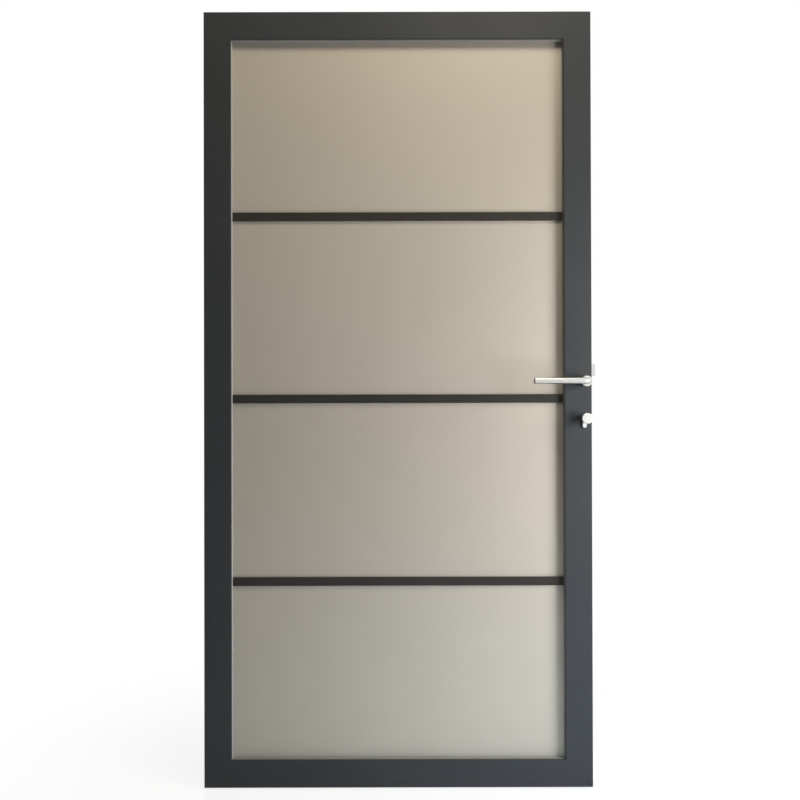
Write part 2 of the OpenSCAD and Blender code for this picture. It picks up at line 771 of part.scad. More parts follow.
// The brackets grip the edge wall from inside, and the faceplate lies in their pockets
module lock_brackets() {
    color(zinc_colour) at_handle() difference() {
        for (z = [faceplate_bottom + face_screw_inset, faceplate_bottom + faceplate_h - face_screw_inset])
            translate([backset - profile_wall - bracket_t, lock_y - bracket_w / 2, z - bracket_h / 2])
                cube([bracket_t, bracket_w, bracket_h]);
        along_x(face_back, faceplate_t) faceplate_outline(sliding_fit);
        each_face_screw() rod_x(-tiny, face_screw_l + bracket_t, face_screw_r + running_fit);
    }
}

// The hub's arm leans towards the lock edge at rest and swings over the top as the lever goes down
module hub_arm(width, y, thickness) {
    translate([-width / 2, y, 0]) cube([width, thickness, pin_radius]);
    translate([0, 0, pin_radius]) rod_y(y, thickness, width / 2);
}

module lever_hub() {
    disc_y = case_inner_y + cut_gap;
    color(zinc_colour) at_handle() difference() {
        union() {
            rod_y(case_y, case_t, hub_boss_r);
            rod_y(disc_y, cover_y - cut_gap - disc_y, hub_r);
            rotate([0, swing, 0]) {
                hub_arm(hub_arm_w, arm_y, hub_arm_t);
                translate([0, 0, pin_radius]) rod_y(arm_y, tail_y + tail_t - arm_y, hub_pin_r);
            }
        }
        spindle_bar(case_y - tiny, case_t + 2 * tiny, running_fit);
    }
}

module spindle_bar(y, length, grow) {
    side = spindle_a + 2 * grow;
    translate([-side / 2, y, -side / 2]) cube([side, length, side]);
}

module latch_outline() {
    tip = backset + latch_reach;
    far = bolt_y + bolt_t;
    polygon([
        [face_back, bolt_y], [tip - latch_bevel, bolt_y], [tip, far - latch_tip_t],
        [tip, far], [face_back, far]
    ]);
}

module latch_bolt() {
    tail_top = slot_top + latch_tail_wall;
    tail_low = slot_bottom - latch_tail_wall;
    color(steel_colour) at_handle() difference() {
        union() {
            translate([0, 0, latch_bottom]) linear_extrude(latch_h) latch_outline();
            translate([tail_back, tail_y, tail_low])
                cube([face_back - tail_back + bite, tail_t, tail_top - tail_low]);
        }
        translate([latch_reach / 2 - slot_w / 2, tail_y - tiny, slot_bottom])
            cube([slot_w, tail_t + 2 * tiny, slot_top - slot_bottom]);
        // room for the arm, which crosses the head's back when the latch is drawn in
        translate([latch_reach, 0, 0]) rotate([0, -swing, 0])
            hub_arm(hub_arm_w + 4 * cut_gap, arm_y - cut_gap, tail_y - arm_y + cut_gap);
    }
}

// Round wire wound along +X, as rings of points joined side by side
module coil(r, wire_r, turns, length) {
    sides = 8;
    steps = turns * 14;
    ring = [for (s = [0 : steps]) [for (i = [0 : sides - 1])
        let (
            turn = s * 360 * turns / steps,
            a = i * 360 / sides,
            out = r + wire_r * cos(a),
            along = wire_r + (length - 2 * wire_r) * s / steps + wire_r * sin(a)
        )
            [along, out * cos(turn), out * sin(turn)]]];
    walls = [for (s = [0 : steps - 1], i = [0 : sides - 1])
        let (j = (i + 1) % sides)
            [s * sides + i, s * sides + j, (s + 1) * sides + j, (s + 1) * sides + i]];
    ends = [[for (i = [sides - 1 : -1 : 0]) i], [for (i = [0 : sides - 1]) steps * sides + i]];
    polyhedron([for (p = ring) each p], concat(walls, ends));
}

module latch_spring() {
    from = case_back + case_wall;
    color(steel_colour) at_handle() translate([from, tail_y + tail_t / 2, tail_mid])
        coil(spring_r - spring_wire_r, spring_wire_r, spring_turns, tail_back - from);
}

module deadbolt() {
    leg_bottom = cam_top + cut_gap;
    // the notch passes over the cam's axis halfway through the throw
    notch_x = -deadbolt_throw / 2;
    notch_w = cam_w + 2 * cut_gap;
    notch_h = (deadbolt_bottom - leg_bottom) / 3;
    guide_slot_r = guide_r + sliding_fit;
    color(steel_colour) at_handle() difference() {
        union() {
            translate([backset - deadbolt_l, bolt_y, deadbolt_bottom]) cube([deadbolt_l, bolt_t, deadbolt_h]);
            translate([notch_x - deadbolt_leg_w / 2, lock_y - deadbolt_leg_t / 2, leg_bottom])
                cube([deadbolt_leg_w, deadbolt_leg_t, deadbolt_bottom - leg_bottom + bite]);
        }
        for (x = [guide_x - deadbolt_throw, guide_x]) translate([x, 0, -deadbolt_drop])
            rod_y(bolt_y - tiny, bolt_t + 2 * tiny, guide_slot_r);
        translate([guide_x - deadbolt_throw, bolt_y - tiny, -deadbolt_drop - guide_slot_r])
            cube([deadbolt_throw, bolt_t + 2 * tiny, 2 * guide_slot_r]);
        translate([notch_x - notch_w / 2, bolt_y, leg_bottom - tiny]) cube([notch_w, bolt_t, notch_h]);
    }
}

// Profile cylinder
module cylinder_body() {
    color(steel_colour) at_cylinder() difference() {
        along_y(-cylinder_proud, frame_depth + 2 * cylinder_proud) cylinder_outline(0);
        rod_y(-cylinder_proud - tiny, frame_depth + 2 * cylinder_proud + 2 * tiny, plug_r);
        translate([-cylinder_h, lock_y - cam_slot_t / 2, cam_slot_bottom])
            cube([2 * cylinder_h, cam_slot_t, 2 * cylinder_h]);
        translate([0, lock_y, bridge_mid]) rod_x(-cylinder_h, 2 * cylinder_h, cylinder_screw_r + running_fit);
    }
}

module cylinder_plug() { rod_y(-cylinder_proud, plug_l, plug_r - running_fit); }

// Flat tongue that turns the cam
module tongue(grow) {
    translate([-tongue_w / 2 - grow, lock_y - cam_slot_t, -tongue_t / 2 - grow])
        cube([tongue_w + 2 * grow, cam_slot_t + grow, tongue_t + 2 * grow]);
}

module turn_plug() {
    color(steel_colour) at_cylinder() {
        cylinder_plug();
        intersection() {
            tongue(0);
            rod_y(lock_y - cam_slot_t, cam_slot_t, plug_r - running_fit);
        }
        rod_y(-stub_end, stub_end, knob_stub_r);
    }
}

module cylinder_cam() {
    color(zinc_colour) at_cylinder() difference() {
        union() {
            rod_y(lock_y - cam_t / 2, cam_t, cam_ring_r);
            intersection() {
                rod_y(lock_y - cam_t / 2, cam_t, cam_reach);
                translate([-cam_w / 2, lock_y - cam_t / 2, -cam_reach]) cube([cam_w, cam_t, cam_reach]);
            }
        }
        tongue(running_fit);
    }
}

module key_plug() {
    color(steel_colour) at_cylinder() difference() {
        far_side() cylinder_plug();
        translate([-keyway_w / 2, frame_depth + cylinder_proud - keyway_l, -keyway_h / 2])
            cube([keyway_w, keyway_l + tiny, keyway_h]);
    }
}

module cylinder_screw() {
    color(steel_colour) at_handle() at_cylinder_screw()
        sunk_screw(cylinder_screw_r, cylinder_screw_head_r, backset + tail_r);
}

// Half of the knob's outline, standing out from the cylinder's face
module knob_outline() {
    square_r = knob_r - knob_edge_r;
    translate([0, cylinder_proud + cut_gap]) square([knob_neck_r, knob_back - cylinder_proud]);
    translate([0, knob_back]) square([square_r, knob_t]);
    translate([0, knob_back + knob_edge_r]) square([knob_r, knob_t - 2 * knob_edge_r]);
    for (y = [knob_back + knob_edge_r, knob_out - knob_edge_r]) translate([square_r, y]) circle(knob_edge_r);
}

module thumb_turn() {
    color(steel_colour) at_cylinder() difference() {
        rotate([90, 0, 0]) rotate_extrude() knob_outline();
        rod_y(-stub_end - cut_gap, stub_end, knob_stub_r + running_fit / 2);
    }
}

// Handle
module rose() {
    bore_r = lever_r + running_fit;
    color(steel_colour) rotate([90, 0, 0]) rotate_extrude() polygon([
        [bore_r, -profile_wall], [spigot_r, -profile_wall], [spigot_r, 0], [rose_r, 0],
        [rose_r, rose_h - rose_chamfer], [rose_r - rose_chamfer, rose_h], [bore_r, rose_h]
    ]);
}
module front_rose() { at_handle() rose(); }
module rear_rose() { at_handle() far_side() rose(); }

// Lever with its neck along the handle axis and its bar towards the hinge edge
module lever() {
    bend_y = -(lever_out - lever_bend);
    color(steel_colour) difference() {
        union() {
            rod_y(bend_y, -bend_y, lever_r);
            translate([-lever_bend, bend_y, 0]) rotate([0, 0, -90]) rotate_extrude(angle = 90)
                translate([lever_bend, 0]) circle(lever_r);
            translate([0, -lever_out, 0]) {
                rod_x(-lever_l + lever_chamfer, lever_l - lever_chamfer - lever_bend, lever_r);
                translate([-lever_l, 0, 0]) rotate([0, 90, 0])
                    cylinder(h = lever_chamfer, r1 = lever_r - lever_chamfer, r2 = lever_r);
            }
        }
        spindle_bar(-socket_end, socket_end + tiny, running_fit);
        translate([0, -grub_out, -lever_r - tiny]) cylinder(h = lever_r, r = grub_r + running_fit);
    }
}
module front_lever() { at_handle() lever(); }
module rear_lever() { at_handle() far_side() lever(); }

module spindle() {
    color(zinc_colour) at_handle() spindle_bar(-spindle_out, frame_depth + 2 * spindle_out, 0);
}

module grub_screw() {
    length = lever_r - spindle_a / 2 - running_fit;
    translate([0, -grub_out, -lever_r]) difference() {
        cylinder(h = length, r = grub_r);
        translate([0, 0, -tiny]) cylinder(h = length / 2, r = grub_r * socket_share, $fn = 6);
    }
}

module lever_grub_screws() {
    color(zinc_colour) at_handle() {
        grub_screw();
        far_side() grub_screw();
    }
}

left_stile();
right_stile();
top_rail();
bottom_rail();
corner_cleats();
spacer_left();
spacer_right();
spacer_top();
spacer_bottom();
glass_pane();
setting_blocks();
front_gasket();
rear_gasket();
bead_left();
bead_right();
bead_top();
bead_bottom();
front_bar_lower();
front_bar_middle();
front_bar_upper();
front_bar_tapes();
rear_bar_lower();
rear_bar_middle();
rear_bar_upper();
rear_bar_tapes();
hinge_leaf_wing_bottom();
hinge_leaf_wing_middle();
hinge_leaf_wing_top();
hinge_jamb_wing_bottom();
hinge_jamb_wing_middle();
hinge_jamb_wing_top();
hinge_pin_bottom();
hinge_pin_middle();
hinge_pin_top();
hinge_screws();
hinge_backing_plates();
lock_case();
lock_cover();
cover_screws();
lock_faceplate();
faceplate_screws();
lock_brackets();
lever_hub();
latch_bolt();
latch_spring();
deadbolt();
cylinder_body();
turn_plug();
cylinder_cam();
key_plug();
cylinder_screw();
thumb_turn();
front_rose();
rear_rose();
front_lever();
rear_lever();
spindle();
lever_grub_screws();
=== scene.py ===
# Glazed door leaf: frosted glass in a powder-coated aluminium frame, with glazing bars, lock and hinges.
import math

import bmesh
import bpy
from mathutils import Matrix, Vector


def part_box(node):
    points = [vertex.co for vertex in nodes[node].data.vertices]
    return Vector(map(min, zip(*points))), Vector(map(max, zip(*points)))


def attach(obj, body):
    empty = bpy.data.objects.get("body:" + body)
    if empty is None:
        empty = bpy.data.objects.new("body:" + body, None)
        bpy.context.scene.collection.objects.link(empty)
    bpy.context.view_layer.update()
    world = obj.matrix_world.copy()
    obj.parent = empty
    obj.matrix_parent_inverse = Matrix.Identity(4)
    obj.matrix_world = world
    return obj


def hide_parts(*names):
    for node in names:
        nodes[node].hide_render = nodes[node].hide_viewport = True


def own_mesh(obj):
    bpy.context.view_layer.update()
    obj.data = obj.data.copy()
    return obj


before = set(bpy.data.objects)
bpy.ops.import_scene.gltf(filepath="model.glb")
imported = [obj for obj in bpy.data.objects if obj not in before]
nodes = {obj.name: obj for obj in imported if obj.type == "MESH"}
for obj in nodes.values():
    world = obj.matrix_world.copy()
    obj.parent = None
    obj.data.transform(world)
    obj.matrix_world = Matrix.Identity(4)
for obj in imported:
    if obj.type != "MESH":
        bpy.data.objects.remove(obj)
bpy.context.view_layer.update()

# Viewpoint
# The leaf is seen square on from about one and a half metres, at the height of its middle.
# The lens is a short one, so the inner sides of the frame show all the way round.
leaf_low = Vector(map(min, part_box("left_stile")[0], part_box("bottom_rail")[0]))
leaf_high = Vector(map(max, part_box("right_stile")[1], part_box("top_rail")[1]))
leaf_w = leaf_high.x - leaf_low.x
leaf_h = leaf_high.z - leaf_low.z
leaf_mid = (leaf_low + leaf_high) / 2
camera_distance = 1.5
camera_right = 0.50487
camera_up = 0.99161
camera_yaw = math.radians(0.023)
camera_pitch = math.radians(0.196)
camera_roll = math.radians(-0.134)
camera_lens = 26.19
camera_sensor = 36
forward = Vector((
    math.sin(camera_yaw) * math.cos(camera_pitch),
    math.cos(camera_yaw) * math.cos(camera_pitch),
    math.sin(camera_pitch),
))
level_right = Vector((math.cos(camera_yaw), -math.sin(camera_yaw), 0))
level_up = level_right.cross(forward)
turned_right = level_right * math.cos(camera_roll) + level_up * math.sin(camera_roll)
turned_up = level_up * math.cos(camera_roll) - level_right * math.sin(camera_roll)
camera_data = bpy.data.cameras.new("camera")
camera_data.sensor_width = camera_sensor
camera_data.lens = camera_lens
camera = bpy.data.objects.new("camera", camera_data)
bpy.context.scene.collection.objects.link(camera)
camera_place = leaf_low + Vector((camera_right, -camera_distance, camera_up))
camera_turn = Matrix((turned_right, turned_up, -forward)).transposed().to_4x4()
camera.matrix_world = Matrix.Translation(camera_place) @ camera_turn
bpy.context.scene.camera = camera
bpy.context.scene.view_settings.view_transform = "Standard"


# Studio
# A white sweep under and behind the leaf, with one large soft window-like lamp on the lock side.
# A warm lamp above and two small ones below fill the near face, and one lamp lights the far side.
def put(tree, kind, values=None, **settings):
    """Adds a node, with settings as attributes and values as numbers or links for its inputs."""
    node = tree.nodes.new(kind)
    for name, setting in settings.items():
        setattr(node, name, setting)
    for key, value in (values or {}).items():
        if isinstance(value, bpy.types.NodeSocket):
            tree.links.new(value, node.inputs[key])
        else:
            node.inputs[key].default_value = value
    return node


def math_node(tree, operation, first, second=0.0):
    return put(tree, "ShaderNodeMath", {0: first, 1: second}, operation=operation).outputs[0]


def seen_straight(tree):
    """1 for rays from the camera and for those by way of metal and glass."""
    path = put(tree, "ShaderNodeLightPath")
    shiny = math_node(tree, "MAXIMUM", path.outputs["Is Glossy Ray"], path.outputs["Is Transmission Ray"])
    return math_node(tree, "MAXIMUM", path.outputs["Is Camera Ray"], shiny)


def mixed_shader(tree, share, first, second):
    """The first shader where share is 0, and the second where it is 1."""
    mix = put(tree, "ShaderNodeMixShader", {0: share, 1: first.outputs[0], 2: second.outputs[0]})
    return mix.outputs[0]


white = (1, 1, 1, 1)
ambient_colour = (1, 0.99, 0.98, 1)
ambient_level = 0.05
world = bpy.data.worlds.new("studio")
world.use_nodes = True
world_tree = world.node_tree
world_tree.nodes.clear()
ambient = put(world_tree, "ShaderNodeBackground", {"Color": ambient_colour, "Strength": ambient_level})
backdrop = put(world_tree, "ShaderNodeBackground", {"Color": white, "Strength": 1.0})
world_light = mixed_shader(world_tree, seen_straight(world_tree), ambient, backdrop)
put(world_tree, "ShaderNodeOutputWorld", {"Surface": world_light})
bpy.context.scene.world = world

floor_gap = 0.006
floor_size = 14.0
floor_grey = (0.86, 0.86, 0.86, 1)
floor_glow_at_foot = 0.84
floor_reach = 0.8
bpy.ops.object.select_all(action="DESELECT")
floor_place = (leaf_mid.x, 0, leaf_low.z - floor_gap)
bpy.ops.mesh.primitive_plane_add(size=floor_size, location=floor_place)
floor = bpy.context.object
floor.name = "floor"
floor_paint = bpy.data.materials.new("white_floor")
floor_paint.use_nodes = True
floor_tree = floor_paint.node_tree
floor_tree.nodes.clear()
floor_coords = put(floor_tree, "ShaderNodeTexCoord")
floor_apart = put(floor_tree, "ShaderNodeSeparateXYZ", {0: floor_coords.outputs["Object"]})
past_middle = math_node(floor_tree, "ABSOLUTE", floor_apart.outputs["X"])
past_end = math_node(floor_tree, "MAXIMUM", math_node(floor_tree, "SUBTRACT", past_middle, leaf_w / 2), 0.0)
from_foot = put(floor_tree, "ShaderNodeCombineXYZ", {"X": past_end, "Y": floor_apart.outputs["Y"]})
foot_distance = put(floor_tree, "ShaderNodeVectorMath", {0: from_foot.outputs[0]}, operation="LENGTH")
floor_fade = put(floor_tree, "ShaderNodeMapRange", {
    "Value": foot_distance.outputs["Value"], "From Min": 0.0, "From Max": floor_reach,
    "To Min": floor_glow_at_foot, "To Max": 1.0,
}, interpolation_type="SMOOTHSTEP")
floor_share = math_node(floor_tree, "MULTIPLY", seen_straight(floor_tree), floor_fade.outputs[0])
floor_matt = put(floor_tree, "ShaderNodeBsdfDiffuse", {"Color": floor_grey})
floor_glow = put(floor_tree, "ShaderNodeEmission", {"Color": white, "Strength": 1.0})
floor_look = mixed_shader(floor_tree, floor_share, floor_matt, floor_glow)
put(floor_tree, "ShaderNodeOutputMaterial", {"Surface": floor_look})
floor.data.materials.append(floor_paint)


def lamp(name, place, aim, size, power, colour):
    """A rectangular lamp, placed and aimed by points measured from the leaf's lower near corner."""
    data = bpy.data.lights.new(name, "AREA")
    data.shape = "RECTANGLE"
    data.size, data.size_y = size
    data.energy = power
    data.color = colour
    holder = bpy.data.objects.new(name, data)
    bpy.context.scene.collection.objects.link(holder)
    at = leaf_low + Vector(place)
    facing = leaf_low + Vector(aim) - at
    holder.matrix_world = Matrix.Translation(at) @ facing.to_track_quat("-Z", "Y").to_matrix().to_4x4()
    holder.visible_camera = False


lamp(
    "key", place=(1.8, -0.6, 0.95), aim=(1.1, 0, 0.8), size=(0.6, 1.0),
    power=31.6, colour=(1.0, 1.0, 1.0),
)
lamp(
    "warm_top", place=(0.9, -0.8, 2.75), aim=(0.3, 0, 1.9), size=(0.7, 0.5),
    power=20.1, colour=(1.0, 0.903, 0.737),
)
lamp(
    "cool_low", place=(1.5, -0.55, 0.16), aim=(0.8, 0, 0.1), size=(0.6, 0.25),
    power=1.15, colour=(0.1, 0.4, 1.0),
)
lamp(
    "low_fill", place=(0.7, -0.6, 0.16), aim=(0.5, 0, 0.1), size=(0.8, 0.25),
    power=1.47, colour=(0.6, 0.84, 1.0),
)
lamp(
    "far_side", place=(-0.5, 2.3, 1.9), aim=(0.5, 0, 1.0), size=(1.6, 1.4),
    power=60, colour=(1.0, 0.99, 0.97),
)


# Leaf frame
# Two stiles and two rails of extruded aluminium, mitred at the corners and crimped on cleats inside.
# All four have the same matt anthracite powder coat, with a fine orange-peel skin.
def group_tree(name, inputs, outputs):
    """An empty node group with its sockets, and the nodes that carry them."""
    tree = bpy.data.node_groups.new(name, "ShaderNodeTree")
    for socket, kind, value in inputs:
        made = tree.interface.new_socket(socket, in_out="INPUT", socket_type=kind)
        if value is not None:
            made.default_value = value
    for socket, kind in outputs:
        tree.interface.new_socket(socket, in_out="OUTPUT", socket_type=kind)
    return tree, put(tree, "NodeGroupInput"), put(tree, "NodeGroupOutput")


def link(tree, source, target):
    tree.links.new(source, target)


noise_low = 0.3
noise_high = 0.7


def stretched(tree, noise, low, high):
    """Noise, which mostly lies between two middling values, stretched to a wanted range."""
    return put(tree, "ShaderNodeMapRange", {
        "Value": noise, "From Min": noise_low, "From Max": noise_high, "To Min": low, "To Max": high,
    }).outputs[0]


def make_tone_drift():
    """A colour that drifts lighter and darker over a distance, as a sprayed or cast surface does."""
    tree, given, result = group_tree("tone_drift", [
        ("Vector", "NodeSocketVector", None), ("Color", "NodeSocketColor", None),
        ("Scale", "NodeSocketFloat", 8.0), ("Amount", "NodeSocketFloat", 0.1),
    ], [("Color", "NodeSocketColor")])
    cloud = put(tree, "ShaderNodeTexNoise", {
        "Vector": given.outputs["Vector"], "Scale": given.outputs["Scale"],
        "Detail": 3.0, "Roughness": 0.55,
    })
    centred = math_node(tree, "SUBTRACT", cloud.outputs["Fac"], 0.5)
    swing = math_node(tree, "MULTIPLY", centred, given.outputs["Amount"])
    gain = math_node(tree, "ADD", swing, 1.0)
    tinted = put(tree, "ShaderNodeVectorMath", {0: given.outputs["Color"], 1: gain}, operation="MULTIPLY")
    link(tree, tinted.outputs[0], result.inputs["Color"])
    return tree


def make_grain():
    """A fine even grain from 0 to 1, for skins, frosting and moulded surfaces."""
    tree, given, result = group_tree("grain", [
        ("Vector", "NodeSocketVector", None), ("Scale", "NodeSocketFloat", 1000.0),
    ], [("Height", "NodeSocketFloat")])
    fine = put(tree, "ShaderNodeTexNoise", {
        "Vector": given.outputs["Vector"], "Scale": given.outputs["Scale"],
        "Detail": 2.0, "Roughness": 0.5,
    })
    link(tree, fine.outputs["Fac"], result.inputs["Height"])
    return tree


def make_smudges():
    """A soft mask of wiped and handled places, stretched upright as a cloth leaves them."""
    tree, given, result = group_tree("smudges", [
        ("Vector", "NodeSocketVector", None), ("Scale", "NodeSocketFloat", 6.0),
        ("Low", "NodeSocketFloat", 0.3), ("High", "NodeSocketFloat", 0.6),
    ], [("Value", "NodeSocketFloat")])
    drawn = put(tree, "ShaderNodeMapping", {"Vector": given.outputs["Vector"], "Scale": (1.0, 1.0, 0.35)})
    wiped = put(tree, "ShaderNodeTexNoise", {
        "Vector": drawn.outputs[0], "Scale": given.outputs["Scale"], "Detail": 5.0, "Distortion": 0.4,
    })
    spread = stretched(tree, wiped.outputs["Fac"], given.outputs["Low"], given.outputs["High"])
    link(tree, spread, result.inputs["Value"])
    return tree


tone_drift = make_tone_drift()
grain = make_grain()
smudges = make_smudges()


def new_finish(name, **sockets):
    """A material with one Principled shader, its plain sockets set, and the object's own coordinates."""
    finish = bpy.data.materials.new(name)
    finish.use_nodes = True
    tree = finish.node_tree
    tree.nodes.clear()
    shader = put(tree, "ShaderNodeBsdfPrincipled")
    put(tree, "ShaderNodeOutputMaterial", {"Surface": shader.outputs[0]})
    for socket, value in sockets.items():
        shader.inputs[socket.replace("_", " ")].default_value = value
    place = put(tree, "ShaderNodeTexCoord").outputs["Object"]
    return finish, tree, shader, place


def placed(tree, group, values):
    """The result of one copy of a node group, placed with its own values."""
    return put(tree, "ShaderNodeGroup", values, node_tree=group).outputs[0]


def skin(tree, shader, height, strength, distance):
    """A bump of a real depth on the shader's normal."""
    bump = put(tree, "ShaderNodeBump", {"Height": height, "Strength": strength, "Distance": distance})
    link(tree, bump.outputs[0], shader.inputs["Normal"])


mix_share_input = 0
mix_first_input = 6
mix_second_input = 7
mix_colour_output = 2


def mixed_colour(tree, share, first, second):
    """The first colour where share is 0, and the second where it is 1."""
    mix = put(tree, "ShaderNodeMix", {
        mix_share_input: share, mix_first_input: first, mix_second_input: second,
    }, data_type="RGBA")
    return mix.outputs[mix_colour_output]


def dress(finish, *names):
    """Gives nodes their finish in place of the plain one that they came with."""
    for name in names:
        slots = nodes[name].data.materials
        slots.clear()
        slots.append(finish)


coat_colour = (0.040, 0.0425, 0.045, 1)
face_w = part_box("left_stile")[1].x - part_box("left_stile")[0].x
mitre_colour = (0.008, 0.008, 0.009, 1)
mitre_hairline = 0.0003
mitre_opening = 0.003
mitre_opening_reach = 0.018


def edge_distance(tree, along, middle, half):
    """How far a point lies inside the leaf's two outer edges across one direction."""
    offset = math_node(tree, "SUBTRACT", along, middle)
    return math_node(tree, "SUBTRACT", half, math_node(tree, "ABSOLUTE", offset))


def mitre_mask(tree, place):
    """1 on the hairlines between stiles and rails, which open at the tip of the lower lock corner."""
    apart = put(tree, "ShaderNodeSeparateXYZ", {0: place})
    side = edge_distance(tree, apart.outputs["X"], leaf_mid.x, leaf_w / 2)
    end = edge_distance(tree, apart.outputs["Z"], leaf_mid.z, leaf_h / 2)
    from_tip = math_node(tree, "MAXIMUM", side, end)
    lock_side = math_node(tree, "GREATER_THAN", apart.outputs["X"], leaf_mid.x)
    lower = math_node(tree, "LESS_THAN", apart.outputs["Z"], leaf_mid.z)
    opening = put(tree, "ShaderNodeMapRange", {
        "Value": from_tip, "From Min": 0.0, "From Max": mitre_opening_reach,
        "To Min": mitre_opening, "To Max": 0.0,
    })
    opened = math_node(tree, "MULTIPLY", opening.outputs[0], math_node(tree, "MULTIPLY", lock_side, lower))
    off_line = math_node(tree, "ABSOLUTE", math_node(tree, "SUBTRACT", side, end))
    near = put(tree, "ShaderNodeMapRange", {
        "Value": off_line, "From Min": 0.0, "From Max": math_node(tree, "ADD", opened, mitre_hairline),
        "To Min": 1.0, "To Max": 0.0,
    })
    in_corner = math_node(tree, "LESS_THAN", from_tip, face_w)
    return math_node(tree, "MULTIPLY", near.outputs[0], in_corner)


def powder_coat(name, colour, mitred):
    finish, tree, shader, place = new_finish(name, Specular_IOR_Level=0.05)
    drift = placed(tree, tone_drift, {"Vector": place, "Color": colour, "Scale": 7.0, "Amount": 0.22})
    shown = placed(tree, tone_drift, {"Vector": place, "Color": drift, "Scale": 900.0, "Amount": 0.30})
    height = placed(tree, grain, {"Vector": place, "Scale": 650.0})
    if mitred:
        line = mitre_mask(tree, place)
        shown = mixed_colour(tree, line, shown, mitre_colour)
        height = math_node(tree, "SUBTRACT", height, line)
    link(tree, shown, shader.inputs["Base Color"])
    rough = placed(tree, smudges, {"Vector": place, "Scale": 5.0, "Low": 0.46, "High": 0.58})
    link(tree, rough, shader.inputs["Roughness"])
    skin(tree, shader, height, strength=0.35, distance=0.00012)
    return finish


frame_coat = powder_coat("frame_coat", coat_colour, mitred=True)
dress(frame_coat, "left_stile", "right_stile", "top_rail", "bottom_rail")


# Corner cleats
# Four L-shaped cleats of extruded aluminium, pushed into the mitred ends and crimped there.
# They keep the mill finish, with the dull streaks of the extrusion die.
def make_streaks():
    """A noise from 0 to 1 that becomes fine lines where its coordinates are drawn out."""
    tree, given, result = group_tree("streaks", [
        ("Vector", "NodeSocketVector", None), ("Scale", "NodeSocketFloat", 900.0),
    ], [("Height", "NodeSocketFloat")])
    noise = put(tree, "ShaderNodeTexNoise", {
        "Vector": given.outputs["Vector"], "Scale": given.outputs["Scale"],
        "Detail": 4.0, "Roughness": 0.6,
    })
    link(tree, noise.outputs["Fac"], result.inputs["Height"])
    return tree


streaks = make_streaks()


def metal_lines(tree, shader, at, colour, scale, tone, rough):
    """Fine lines in a metal's colour, roughness and relief, at coordinates drawn out along the lines."""
    toned = placed(tree, tone_drift, {"Vector": at, "Color": colour, "Scale": scale, "Amount": tone})
    link(tree, toned, shader.inputs["Base Color"])
    lines = placed(tree, streaks, {"Vector": at, "Scale": scale})
    link(tree, stretched(tree, lines, *rough), shader.inputs["Roughness"])
    skin(tree, shader, lines, strength=0.25, distance=0.00003)


def brushed_metal(name, colour, stretch, rough):
    """Metal with straight lines: stretch is small along the lines and 1 across them."""
    finish, tree, shader, place = new_finish(name, Metallic=1.0)
    along = put(tree, "ShaderNodeMapping", {"Vector": place, "Scale": stretch}).outputs[0]
    drift = placed(tree, tone_drift, {"Vector": place, "Color": colour, "Scale": 25.0, "Amount": 0.10})
    metal_lines(tree, shader, along, drift, scale=1400.0, tone=0.16, rough=rough)
    return finish


drawn_through = (1.0, 0.03, 1.0)
mill_aluminium = brushed_metal("mill_aluminium", (0.55, 0.56, 0.57, 1), drawn_through, rough=(0.38, 0.52))
dress(mill_aluminium, "corner_cleats")

# Glazing spacers
# Four hollow strips of grey rigid plastic, mitred and pushed in behind the frame's lip.
# They pack out the rebate for the thin pane, and their colour darkens towards the lip as painted shade at
# the joint.
# The strip on the hinge side is painted paler than the other three, as painted light from the lamp side
# that faces it.
spacer_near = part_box("spacer_left")[0].y
painted_shade_reach = 0.005
painted_joint_shade = 0.30


def extruded_plastic(name, colour, stretch):
    finish, tree, shader, place = new_finish(name, Specular_IOR_Level=0.12)
    drift = placed(tree, tone_drift, {"Vector": place, "Color": colour, "Scale": 9.0, "Amount": 0.08})
    apart = put(tree, "ShaderNodeSeparateXYZ", {0: place})
    # Painted shade: the colour darkens over the first few millimetres behind the lip.
    shade = put(tree, "ShaderNodeMapRange", {
        "Value": apart.outputs["Y"], "From Min": spacer_near, "From Max": spacer_near + painted_shade_reach,
        "To Min": painted_joint_shade, "To Max": 1.0,
    })
    shaded = put(tree, "ShaderNodeVectorMath", {0: drift, 1: shade.outputs[0]}, operation="MULTIPLY")
    link(tree, shaded.outputs[0], shader.inputs["Base Color"])
    wiped = placed(tree, smudges, {"Vector": place, "Scale": 12.0, "Low": 0.46, "High": 0.58})
    link(tree, wiped, shader.inputs["Roughness"])
    along = put(tree, "ShaderNodeMapping", {"Vector": place, "Scale": stretch})
    lines = placed(tree, streaks, {"Vector": along.outputs[0], "Scale": 500.0})
    skin(tree, shader, lines, strength=0.2, distance=0.00005)
    return finish


spacer_colour = (0.234, 0.228, 0.203, 1)
painted_lit_spacer_colour = (0.36, 0.362, 0.35, 1)
drawn_upright = (1.0, 1.0, 0.01)
drawn_level = (0.01, 1.0, 1.0)
dress(extruded_plastic("spacer_upright", spacer_colour, drawn_upright), "spacer_right")
# Painted light: the hinge-side strip gets a paler, lit copy of the spacer colour.
dress(extruded_plastic("spacer_painted_lit", painted_lit_spacer_colour, drawn_upright), "spacer_left")
dress(extruded_plastic("spacer_level", spacer_colour, drawn_level), "spacer_top", "spacer_bottom")

